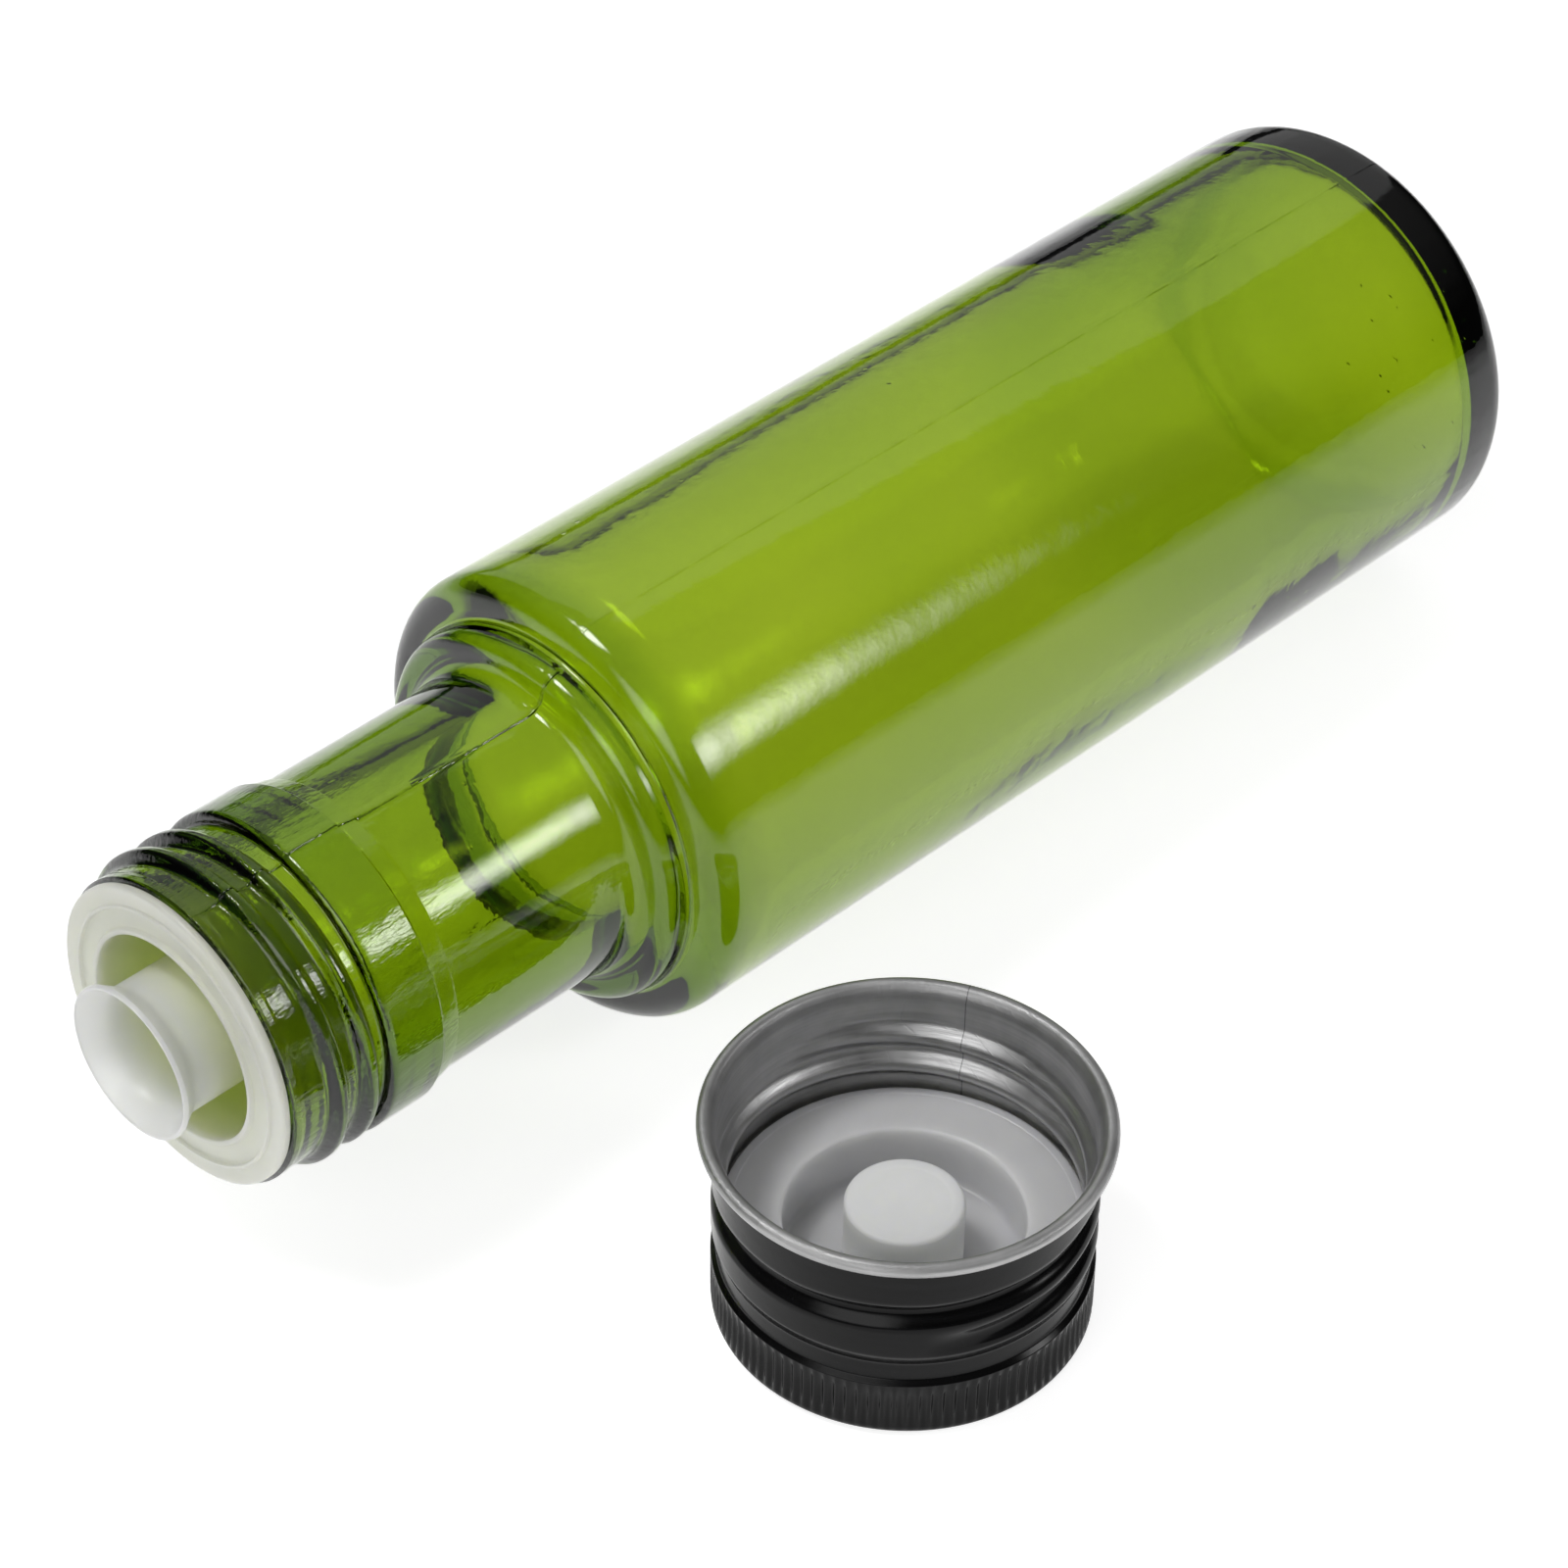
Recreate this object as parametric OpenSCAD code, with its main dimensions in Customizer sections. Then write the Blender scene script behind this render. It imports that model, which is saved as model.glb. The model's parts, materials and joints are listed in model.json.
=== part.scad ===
// Small round oil bottle in green glass, lying on its side, with a plug-in pourer
// and a rolled aluminium screw cap that stands beside it, open end up.
// Millimetres, +Z up. The origin is on the table, under the middle of the whole group.

/* [Bottle] */
// Outside diameter of the body
body_d = 42.6; // [38:0.1:60]
// Length of the glass from the mouth to the base
glass_len = 144; // [115:1:200]
// Thickness of the body wall
glass_wall = 2.6; // [1.8:0.1:3.2]
// Radius of the rounded shoulder of the body
shoulder_round = 2.6; // [1.6:0.1:3.4]
// Radius of the rounded heel at the base
heel_round = 2.6; // [1.5:0.1:4]
// Thickness of the glass under the cavity, at its edge
base_thick = 3.6; // [3:0.1:8]
// Height of the hollow under the base
push_up = 1.8; // [0.8:0.1:2.4]
// Width of the flat ring that the base stands on
base_ring_w = 3.2; // [2:0.1:5]

/* [Neck] */
// Outside diameter of the plain neck
neck_d = 28.2; // [25:0.1:29]
// Length from the mouth to the shoulder
neck_len = 37.5; // [32:0.5:60]
// Diameter of the bore through the neck
neck_bore_d = 21.4; // [17.8:0.1:22.4]
// Diameter of the mouth between the threads
finish_d = 28; // [27.4:0.1:28.6]
// Diameter over the thread crest
thread_d = 29.9; // [29.4:0.1:30.1]
// Advance of the thread in one turn
thread_pitch = 3.175; // [2.6:0.005:3.85]
// Number of turns of the neck thread
thread_turns = 1.89; // [1.2:0.01:2]
// Diameter of the smooth collar under the thread
collar_d = 30; // [29.4:0.1:30.2]
// Distance from the lower end of the thread to the collar
collar_gap = 0.12; // [0.05:0.01:1]
// Length of the smooth collar
collar_len = 5.6; // [3:0.1:8]

/* [Pourer] */
// Diameter of the flange that lies on the mouth
flange_d = 27.4; // [25:0.1:27.8]
// Thickness of the flange
flange_t = 0.8; // [0.6:0.1:1.4]
// Depth that the skirt reaches into the neck
skirt_depth = 9.5; // [7:0.1:14]
// Wall of the skirt, the floor and the spout
pourer_wall = 1; // [0.8:0.1:1.3]
// Diameter of the hole through the spout
spout_bore_d = 10.2; // [8.6:0.1:11]
// Distance that the spout stands beyond the flange
spout_reach = 4.6; // [3:0.1:4.7]
// Width of the flared lip of the spout
spout_lip_w = 1.1; // [0.5:0.1:1.4]
// Gap between the skirt and the bore of the neck
skirt_gap = 0.08; // [0.04:0.01:0.1]

/* [Cap] */
// Height of the plain band between the thread and the rim
rim_band = 2.36; // [1.2:0.01:6]
// Thickness of the aluminium
cap_wall = 0.35; // [0.25:0.05:0.4]
// Gap between the thread crest and the inside of the cap
cap_thread_gap = 0.42; // [0.35:0.01:0.6]
// Radius of the wire-like curl round the rim
curl_r = 0.62; // [0.4:0.01:0.75]
// Height of the knurled band
knurl_h = 4.7; // [3:0.1:5.5]
// Number of knurls
knurl_count = 104; // [60:1:130]
// Depth of the rolled cap thread
cap_thread_depth = 0.95; // [0.7:0.05:1]
// Number of turns of the cap thread
cap_thread_turns = 1.6; // [0.8:0.05:1.7]
// Height of the sealing face of the liner above the closed end
seal_h = 9.3; // [9.3:0.1:12]
// Gap between the liner and the inside of the cap
liner_gap = 0.3; // [0.2:0.05:0.6]
// Gap between the plug and the hole through the spout
plug_gap = 0.15; // [0.1:0.01:0.3]
// Distance along the bottle from the mouth to the middle of the cap
cap_along = 35.9; // [20:0.1:110]
// Free space on the table between the bottle and the rim of the cap
cap_space = 8.7; // [5:0.1:40]

/* [Hidden] */
$fn = 96;
eps = 0.01;

// Bottle
body_r = body_d / 2;
neck_r = neck_d / 2;
bore_r = neck_bore_d / 2;
finish_r = finish_d / 2;
thread_r = thread_d / 2;
collar_r = collar_d / 2;
mouth_round = 0.9;
neck_fillet = 1.5;
collar_fillet = 2;
collar_round = 0.9;
// The small ring between the neck and the shoulder
ring_round = 1.6;
ring_r = neck_r + neck_fillet + 0.4 + ring_round;
ring_len = 2.1;
ring_fillet = 0.6;
shoulder_face = neck_len + ring_len + ring_fillet;
shoulder_end = shoulder_face + shoulder_round;
// Cavity
cavity_r = body_r - glass_wall;
cavity_start = shoulder_face + 3;
cavity_shoulder = 4;
cavity_round = 4;
cavity_end = glass_len - base_thick;
throat_start = neck_len + 2;
push_up_r = body_r - heel_round - base_ring_w;
push_up_sphere = (push_up_r * push_up_r + push_up * push_up) / (2 * push_up);

// Neck thread. A thread is half_w each side of its middle and fades over its first and last run_out degrees
thread_depth = thread_r - finish_r;
thread_half_w = 0.33 * thread_pitch;
thread_start_angle = 21;
thread_start = 2.43;
steps_per_turn = 36;
run_out = 30;
end_width = 0.4;
end_depth = 0.03;
thread_section = [[-1, -0.15], [-0.62, 0.6], [-0.28, 1], [0.28, 1], [0.62, 0.6], [1, -0.15]];
collar_start = thread_start + thread_turns * thread_pitch + thread_half_w + collar_gap;
collar_end = collar_start + collar_len;

// Pourer
skirt_r = bore_r - skirt_gap;
skirt_extra = 0.2;
skirt_in_r = skirt_r - pourer_wall - skirt_extra;
skirt_taper_w = 0.5;
skirt_taper_h = 1.4;
spout_bore_r = spout_bore_d / 2;
spout_thinning = 0.15;
spout_r = spout_bore_r + pourer_wall - spout_thinning;
spout_lip_r = spout_r + spout_lip_w;
spout_lip_len = 1.6;
spout_lip_edge = 0.45;
spout_flare = 1;
spout_lip_t = 0.3;
spout_tip = -flange_t - spout_reach;
spout_end = skirt_depth + 1.5;
flange_r = flange_d / 2;
flange_rim_w = 1.92;
flange_step_r = flange_r - flange_rim_w;
flange_step = 0.25;
floor_top = skirt_depth - 2.2;
slot_count = 3;
slot_half_angle = 44;
slot_margin = 0.7;
web_w = 1.6;
web_h = 2.5;
web_bite = 0.2;

// Cap
shell_in_r = thread_r + cap_thread_gap;
shell_r = shell_in_r + cap_wall;
curl_bite = 0.02;
curl_mid_r = shell_r + curl_r - curl_bite;
rim_r = curl_mid_r + curl_r;
corner_round = 1.3;
knurl_start = 1;
knurl_depth = 0.26;
knurl_bite = 0.03;
knurl_root_r = shell_r - knurl_depth;
knurl_end = knurl_start + knurl_h;
knurl_slope = 0.7;
// The sheet widens inside, just under the sealing face
bead_h = seal_h - 0.2;
// The rolled thread starts just above the sealing face. Its ridge inside is wider than its groove outside
cap_thread_half_w = 0.36 * thread_pitch;
ridge_half_w = cap_thread_half_w + 0.2;
ridge_lead = thread_pitch * run_out / 360;
cap_thread_start = seal_h + ridge_half_w - ridge_lead;
cap_thread_angle = 230;
cap_thread_top = cap_thread_start + cap_thread_turns * thread_pitch;
cap_h = cap_thread_top + cap_thread_half_w + rim_band + 2 * curl_r;
// Liner, with a skirt that stands on the closed end
liner_inset = 0.45;
liner_r = shell_in_r - liner_gap - liner_inset;
liner_neck_r = liner_r - knurl_depth - 0.6;
liner_wall = 1;
liner_edge = 0.4;
liner_foot_h = 1.4;
liner_foot_w = 0.6;
recess_margin = 2.9;
recess_r = spout_lip_r + recess_margin;
spout_end_gap = 0.5;
recess_depth = spout_reach + spout_end_gap;
plug_r = spout_bore_r - plug_gap;
plug_proud = 1.6;
plug_edge = 0.3;
spigot_r = plug_r * 0.5;
rib_count = 8;
rib_t = 0.8;
rib_bite = 0.4;
liner_foot = cap_wall + 0.05;
rib_start = liner_foot + 1.2;
recess_floor = seal_h - recess_depth;
recess_base = recess_floor - liner_wall;
plug_top = seal_h + plug_proud;

// Places of the three groups on the table
group_x = -(glass_len - flange_t - spout_reach) / 2;
bottle_y = (cap_space + 2 * rim_r) / 2;
cap_x = group_x + cap_along;
cap_y = bottle_y - body_r - cap_space - rim_r;

// Lays a shape drawn along +Z, from the mouth to the base, on its side
module lie_down() {
    translate([group_x, bottle_y, body_r]) rotate([0, 90, 0]) children();
}

// Stands a shape drawn from the closed end up at the place of the cap
module stand_cap() {
    translate([cap_x, cap_y, 0]) children();
}

// A rounded corner of a profile, with its centre at radius r and height z
module corner(r, z, round_r) {
    translate([r, z]) circle(round_r);
}

// Height factor of a thread, which fades in and out at its ends
function fade(a, total) = min(1, a / run_out, (total - a) / run_out);

// One ring of points across a thread, at angle a from its start
function thread_ring(a, total, start_angle, root_r, depth, half_w, pitch) = [
    for (p = thread_section)
        let (f = p[1] < 0 ? 1 : max(fade(a, total), end_depth),
             r = root_r + depth * p[1] * f,
             w = end_width + (1 - end_width) * max(fade(a, total), 0),
             z = half_w * p[0] * w + pitch * a / 360)
        [r * cos(start_angle + a), r * sin(start_angle + a), z]
];

// A helical thread. A negative depth makes one that points inwards
module helix(turns, start_angle, root_r, depth, half_w, pitch) {
    total = turns * 360;
    rings = ceil(turns * steps_per_turn);
    n = len(thread_section);
    pts = [
        for (i = [0:rings])
            each thread_ring(total * i / rings, total, start_angle, root_r, depth, half_w, pitch)
    ];
    sides = [
        for (i = [0:rings - 1])
            for (j = [0:n - 1])
                let (a = i * n + j, b = i * n + (j + 1) % n)
                each [[a, b, b + n], [a, b + n, a + n]]
    ];
    first = [for (j = [1:n - 2]) [0, j + 1, j]];
    last = [for (j = [1:n - 2]) [rings * n, rings * n + j, rings * n + j + 1]];
    faces = concat(sides, first, last);
    polyhedron(points = pts, faces = depth > 0 ? faces : [for (f = faces) [f[2], f[1], f[0]]]);
}

// Outside profile of the glass
module glass_outline() {
    polygon([
        [0, 0],
        [finish_r - mouth_round, 0],
        [finish_r, mouth_round],
        [finish_r, collar_start - collar_round],
        [collar_r - collar_round, collar_start],
        [collar_r, collar_start + collar_round],
        [collar_r, collar_end],
        [neck_r, collar_end + collar_fillet],
        [neck_r, neck_len],
        [ring_r - ring_round, neck_len],
        [ring_r, neck_len + ring_round],
        [ring_r, shoulder_face],
        [body_r - shoulder_round, shoulder_face],
        [body_r, shoulder_end],
        [body_r, glass_len - heel_round],
        [body_r - heel_round, glass_len],
        [0, glass_len]
    ]);
    corner(finish_r - mouth_round, mouth_round, mouth_round);
    corner(collar_r - collar_round, collar_start + collar_round, collar_round);
    corner(ring_r - ring_round, neck_len + ring_round, ring_round);
    corner(body_r - shoulder_round, shoulder_end, shoulder_round);
    corner(body_r - heel_round, glass_len - heel_round, heel_round);
    // Hollow fillets, each a square corner with a circle taken out
    difference() {
        translate([neck_r - eps, neck_len - neck_fillet]) square([neck_fillet + eps, neck_fillet + eps]);
        corner(neck_r + neck_fillet, neck_len - neck_fillet, neck_fillet);
    }
    difference() {
        translate([ring_r - eps, shoulder_face - ring_fillet]) square([ring_fillet + eps, ring_fillet + eps]);
        corner(ring_r + ring_fillet, shoulder_face - ring_fillet, ring_fillet);
    }
}

// Profile of the space inside the glass
module glass_cavity() {
    polygon([
        [0, -1],
        [bore_r, -1],
        [bore_r, throat_start],
        [cavity_r - cavity_shoulder, cavity_start],
        [cavity_r, cavity_start + cavity_shoulder],
        [cavity_r, cavity_end - cavity_round],
        [cavity_r - cavity_round, cavity_end],
        [0, cavity_end]
    ]);
    corner(cavity_r - cavity_shoulder, cavity_start + cavity_shoulder, cavity_shoulder);
    corner(cavity_r - cavity_round, cavity_end - cavity_round, cavity_round);
}

module glass_bottle() {
    color([0.45, 0.58, 0.10, 0.6])
        lie_down() {
            difference() {
                rotate_extrude() glass_outline();
                rotate_extrude() glass_cavity();
                translate([0, 0, glass_len - push_up + push_up_sphere]) sphere(push_up_sphere);
            }
            translate([0, 0, thread_start])
                helix(thread_turns, thread_start_angle, finish_r, thread_depth, thread_half_w, thread_pitch);
        }
}

// Half profile of the pourer, with the mouth of the glass at height 0
module pourer_profile() {
    // Flange
    translate([skirt_in_r, -flange_t]) square([flange_r - skirt_in_r, flange_t]);
    translate([skirt_in_r, -flange_t - flange_step])
        square([flange_step_r - skirt_in_r, flange_step + eps]);
    // Skirt in the neck, with a tapered end
    polygon([
        [skirt_in_r, -eps],
        [skirt_r, -eps],
        [skirt_r, skirt_depth - skirt_taper_h],
        [skirt_r - skirt_taper_w, skirt_depth],
        [skirt_in_r, skirt_depth]
    ]);
    // Floor
    translate([spout_bore_r, floor_top]) square([skirt_in_r - spout_bore_r + eps, pourer_wall]);
    // Spout with its flared lip
    polygon([
        [spout_bore_r, spout_tip + spout_flare],
        [spout_lip_r - spout_lip_edge, spout_tip],
        [spout_lip_r, spout_tip],
        [spout_lip_r, spout_tip + spout_lip_t],
        [spout_r, spout_tip + spout_lip_len],
        [spout_r, spout_end],
        [spout_bore_r, spout_end]
    ]);
}

// One of the curved openings in the floor, where oil and air pass
module floor_slot() {
    rotate([0, 0, -slot_half_angle])
        rotate_extrude(angle = 2 * slot_half_angle)
            translate([spout_r + slot_margin, floor_top - 1])
                square([skirt_in_r - spout_r - 2 * slot_margin, pourer_wall + 2]);
}

module pourer_insert() {
    color([0.86, 0.89, 0.86, 0.9])
        lie_down() {
            difference() {
                rotate_extrude() pourer_profile();
                for (i = [0:slot_count - 1])
                    rotate([0, 0, i * 360 / slot_count]) floor_slot();
            }
            // Webs between the spout and the skirt
            for (i = [0:slot_count - 1])
                rotate([0, 0, (i + 0.5) * 360 / slot_count])
                    translate([spout_r - web_bite, -web_w / 2, floor_top - web_h + eps])
                        cube([skirt_in_r - spout_r + 2 * web_bite, web_w, web_h]);
        }
}

// Outline of the knurled band, seen along the axis of the cap
module knurl_outline() {
    polygon([
        for (i = [0:2 * knurl_count - 1])
            let (a = i * 180 / knurl_count, r = shell_r - (i % 2) * (knurl_depth + knurl_bite))
            [r * cos(a), r * sin(a)]
    ]);
}

// Outside profile of the cap shell, without its curl
module shell_outline() {
    polygon([
        [0, 0],
        [knurl_root_r - corner_round, 0],
        [knurl_root_r, corner_round],
        [knurl_root_r, knurl_end],
        [shell_r, knurl_end + knurl_slope],
        [shell_r, cap_h - curl_r],
        [0, cap_h - curl_r]
    ]);
    corner(knurl_root_r - corner_round, corner_round, corner_round);
}

// A turn of the rolled thread, cut into or standing on radius root_r
module cap_helix(root_r, half_w) {
    translate([0, 0, cap_thread_start])
        helix(cap_thread_turns, cap_thread_angle, root_r, -cap_thread_depth, half_w, thread_pitch);
}

module cap_shell() {
    color([0.09, 0.09, 0.10])
        stand_cap() {
            difference() {
                union() {
                    rotate_extrude() shell_outline();
                    translate([0, 0, knurl_start]) linear_extrude(height = knurl_h) knurl_outline();
                }
                // Inside of the sheet, down to the closed end
                translate([0, 0, cap_wall]) cylinder(h = cap_h, r = shell_in_r - corner_round - knurl_depth);
                translate([0, 0, cap_wall + corner_round]) cylinder(h = cap_h, r = shell_in_r - knurl_depth);
                translate([0, 0, bead_h]) cylinder(h = cap_h, r = shell_in_r);
                // Groove rolled in from outside
                cap_helix(shell_r + eps, cap_thread_half_w);
            }
            // Ridge that the groove pushes out inside
            difference() {
                cap_helix(shell_in_r, ridge_half_w);
                cap_helix(shell_r + eps, cap_thread_half_w);
            }
            // Curl round the rim
            translate([0, 0, cap_h - curl_r]) rotate_extrude() translate([curl_mid_r, 0]) circle(curl_r);
        }
}

// Half profile of the hollow liner
module liner_profile() {
    // Sealing face and the skirt that stands on the closed end
    translate([recess_r, seal_h - liner_wall]) square([liner_r - recess_r, liner_wall]);
    polygon([
        [liner_r - liner_wall, seal_h - eps],
        [liner_r, seal_h - liner_edge],
        [liner_r, bead_h - liner_wall],
        [liner_neck_r, bead_h - 2 * liner_wall],
        [liner_neck_r, liner_foot + liner_foot_h],
        [liner_neck_r - liner_foot_w, liner_foot],
        [liner_neck_r - liner_wall, liner_foot],
        [liner_neck_r - liner_wall, seal_h - liner_wall],
        [liner_r - liner_wall, seal_h - liner_wall]
    ]);
    // Recess for the spout
    translate([recess_r - liner_wall, recess_base]) square([liner_wall + eps, recess_depth + liner_wall]);
    translate([spigot_r, recess_base]) square([recess_r - spigot_r, liner_wall]);
}

module cap_liner() {
    color([0.72, 0.74, 0.75])
        stand_cap() {
            rotate_extrude() liner_profile();
            for (i = [0:rib_count - 1])
                rotate([0, 0, i * 360 / rib_count])
                    translate([recess_r - rib_bite, -rib_t / 2, rib_start])
                        cube([liner_neck_r - recess_r, rib_t, seal_h - rib_start - eps]);
        }
}

module cap_plug() {
    color([0.93, 0.94, 0.93])
        stand_cap()
            rotate_extrude() {
                polygon([
                    [0, recess_floor],
                    [plug_r, recess_floor],
                    [plug_r, plug_top - plug_edge],
                    [plug_r - plug_edge, plug_top],
                    [0, plug_top]
                ]);
                corner(plug_r - plug_edge, plug_top - plug_edge, plug_edge);
                translate([0, recess_base]) square([spigot_r, liner_wall + eps]);
            }
}

glass_bottle();
pourer_insert();
cap_shell();
cap_liner();
cap_plug();
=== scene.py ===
"""Looks of the glass oil bottle around its CAD frame: green glass, milky pourer, black aluminium cap."""

import json
import math

import bmesh
import bpy
from mathutils import Matrix, Vector, noise

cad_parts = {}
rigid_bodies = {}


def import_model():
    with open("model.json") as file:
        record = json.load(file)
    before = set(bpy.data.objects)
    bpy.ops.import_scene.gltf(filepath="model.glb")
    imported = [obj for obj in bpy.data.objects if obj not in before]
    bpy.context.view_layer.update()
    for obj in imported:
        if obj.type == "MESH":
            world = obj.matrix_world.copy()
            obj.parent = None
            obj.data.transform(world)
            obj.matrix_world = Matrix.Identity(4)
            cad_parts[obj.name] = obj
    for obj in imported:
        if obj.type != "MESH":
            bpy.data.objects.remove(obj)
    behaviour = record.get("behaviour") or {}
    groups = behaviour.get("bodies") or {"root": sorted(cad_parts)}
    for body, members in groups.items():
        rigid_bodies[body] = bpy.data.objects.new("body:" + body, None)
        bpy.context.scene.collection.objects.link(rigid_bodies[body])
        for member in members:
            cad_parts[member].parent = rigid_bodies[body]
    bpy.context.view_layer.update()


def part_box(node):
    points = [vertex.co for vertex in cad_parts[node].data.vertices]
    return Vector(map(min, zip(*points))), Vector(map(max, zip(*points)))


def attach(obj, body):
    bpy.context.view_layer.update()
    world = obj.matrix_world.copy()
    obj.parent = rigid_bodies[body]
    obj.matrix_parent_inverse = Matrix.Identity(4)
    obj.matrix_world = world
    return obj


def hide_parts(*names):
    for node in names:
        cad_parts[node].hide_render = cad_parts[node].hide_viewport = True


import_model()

MM = 0.001
TAU = 2 * math.pi

# ---------------- places and sizes from the frame, in millimetres
glass_low, glass_high = (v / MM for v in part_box("glass_bottle"))
pourer_low, pourer_high = (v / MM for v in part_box("pourer_insert"))
shell_low, shell_high = (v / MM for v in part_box("cap_shell"))
liner_low, liner_high = (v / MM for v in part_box("cap_liner"))
plug_low, plug_high = (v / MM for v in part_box("cap_plug"))

BODY_R = (glass_high.z - glass_low.z) / 2
GLASS_LEN = glass_high.x - glass_low.x
MOUTH = Vector((glass_low.x, (glass_low.y + glass_high.y) / 2, glass_low.z + BODY_R))
CAP_H = shell_high.z - shell_low.z
CAP_AXIS = Vector(((shell_low.x + shell_high.x) / 2, (shell_low.y + shell_high.y) / 2, 0))
RIM_R = (shell_high.x - shell_low.x) / 2
LINER_R = (liner_high.x - liner_low.x) / 2
SEAL_H = liner_high.z
PLUG_R = (plug_high.x - plug_low.x) / 2
PLUG_TOP = plug_high.z
FLANGE_R = (pourer_high.z - pourer_low.z) / 2
SPOUT_TIP = glass_low.x - pourer_low.x
POURER_END = pourer_high.x - glass_low.x

# Neck and glass wall
NECK_R = 14.1
BORE_R = 10.7
FINISH_R = 14.0
THREAD_R = 14.95
COLLAR_R = 15.0
COLLAR_START = 9.6
COLLAR_END = 15.2
NECK_END = 37.5
RING_R = 17.6
SHOULDER_FACE = 40.2
SHOULDER_ROUND = 2.6
HEEL_ROUND = 2.6
WALL = 2.6
BASE_THICK = 3.0
THICK_HEEL = 0.6
PUSH_UP = 1.2
PUSH_UP_R = 15.5
THREAD_PITCH = 3.175
THREAD_HALF = 1.1
THREAD_RUN_OUT = 34
THREAD_START = 2.43
THREAD_START_ANGLE = 21
THREAD_TURNS = 1.89

# Mould marks on the glass: the seam, its flash where the neck starts, and the ticks round the heel
SEAM_ANGLE = 190
SEAM_ON_NECK = 0.13
SEAM_ON_BODY = 0.05
FLASH_MARK = 0.35
TICK_RISE = 0.06
TICK_EVERY = 9
TICK_LOW = 6.4
TICK_HIGH = 4.6

# Pourer
SKIRT_R = 10.62
SKIRT_IN_R = 9.42
FLANGE_T = 0.8
SKIRT_DEPTH = 9.5
FLOOR_TOP = 7.3
SPOUT_R = 5.95
SPOUT_BORE_R = 5.1
LIP_R = 7.05

# Cap
SHELL_R = 15.72
SHEET = 0.35
CURL_R = 0.62
CURL_FROM = -155
CURL_SWEEP = 300
CURL_STEPS = 14
KNURLS = 104
KNURL_DEPTH = 0.36
KNURL_LOW = 1.0
KNURL_HIGH = 5.7
CAP_THREAD_START = 10.38
CAP_THREAD_ANGLE = 230
CAP_THREAD_TURNS = 1.6
CAP_THREAD_DEPTH = 0.95
CAP_THREAD_HALF = 1.3
CAP_THREAD_RUN_OUT = 60
RECESS_R = 9.95
RECESS_FLOOR = 4.2

# Colour of light that has gone through the glass, and how fast it takes it on, for each metre
GLASS_COLOUR = (0.73, 0.80, 0.02, 1)
GLASS_DENSITY = 850.0

# Studio, in metres
LIGHT_DISTANCE = 0.8
CAMERA_PLACE = (-0.2417, -0.2158, 0.2921)


# ---------------- mesh helpers
def rounded(corners, steps=6):
    """A line through (radius, height, corner radius) points, with each corner turned into an arc."""
    line = []
    for i, (r, z, size) in enumerate(corners):
        here = Vector((r, z))
        if size <= 0 or i in (0, len(corners) - 1):
            line.append(here)
            continue
        back = (Vector(corners[i - 1][:2]) - here).normalized()
        on = (Vector(corners[i + 1][:2]) - here).normalized()
        half = back.angle(on) / 2
        reach = size / math.tan(half)
        middle = here + (back + on).normalized() * (size / math.sin(half))
        first = here + back * reach - middle
        last = here + on * reach - middle
        turn = first.angle_signed(last)
        for k in range(steps + 1):
            angle = -turn * k / steps
            spin = Matrix.Rotation(angle, 2)
            line.append(middle + spin @ first)
    return line


def dense(line, longest):
    """The same line with extra points, so that no step is longer than longest(height)."""
    out = [line[0]]
    for a, b in zip(line, line[1:]):
        count = max(1, math.ceil((b - a).length / longest((a.y + b.y) / 2)))
        out += [a.lerp(b, k / count) for k in range(1, count + 1)]
    return [p for i, p in enumerate(out) if i == 0 or (p - out[i - 1]).length > 1e-5]


def lathe(name, line, around, place, bend=None, closed=False):
    """Turns a line round an axis.

    bend(row, angle, radius, height) gives each point its own radius and height.
    closed joins the last ring to the first one, for a tube.
    """
    mesh = bpy.data.meshes.new(name)
    bm = bmesh.new()
    rings = []
    for row, p in enumerate(line):
        if p.x < 1e-6:
            rings.append([bm.verts.new(place(0, 0, p.y))])
            continue
        ring = []
        for k in range(around):
            angle = TAU * k / around
            r, z = bend(row, angle, p.x, p.y) if bend else (p.x, p.y)
            ring.append(bm.verts.new(place(r * math.cos(angle), r * math.sin(angle), z)))
        rings.append(ring)
    pairs = list(zip(rings, rings[1:]))
    if closed:
        pairs.append((rings[-1], rings[0]))
    for a, b in pairs:
        for k in range(around):
            n = (k + 1) % around
            if len(a) == 1:
                bm.faces.new((a[0], b[n], b[k]))
            elif len(b) == 1:
                bm.faces.new((a[k], a[n], b[0]))
            else:
                bm.faces.new((a[k], a[n], b[n], b[k]))
    bmesh.ops.recalc_face_normals(bm, faces=bm.faces)
    bm.to_mesh(mesh)
    bm.free()
    for face in mesh.polygons:
        face.use_smooth = True
    piece = bpy.data.objects.new(name, mesh)
    bpy.context.scene.collection.objects.link(piece)
    return piece


def along_bottle(x, y, z):
    """From the bottle's own axis, with z from the mouth to the base, to the row frame in metres."""
    return (MOUTH + Vector((z, y, -x))) * MM


def on_cap(x, y, z):
    """From the cap's own axis, with z from the closed end up, to the row frame in metres."""
    return (CAP_AXIS + Vector((x, y, z))) * MM


def hump(t):
    """A smooth bump: 1 at 0, and 0 from 1 on."""
    t = min(1.0, abs(t))
    return (1 - t * t) ** 1.4


def crest(t):
    """A flat-topped bump with steep sides: 1 at 0, and 0 from 1 on."""
    t = min(1.0, max(0.0, (abs(t) - 0.25) / 0.75))
    return 1 - t * t * (3 - 2 * t)


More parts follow.
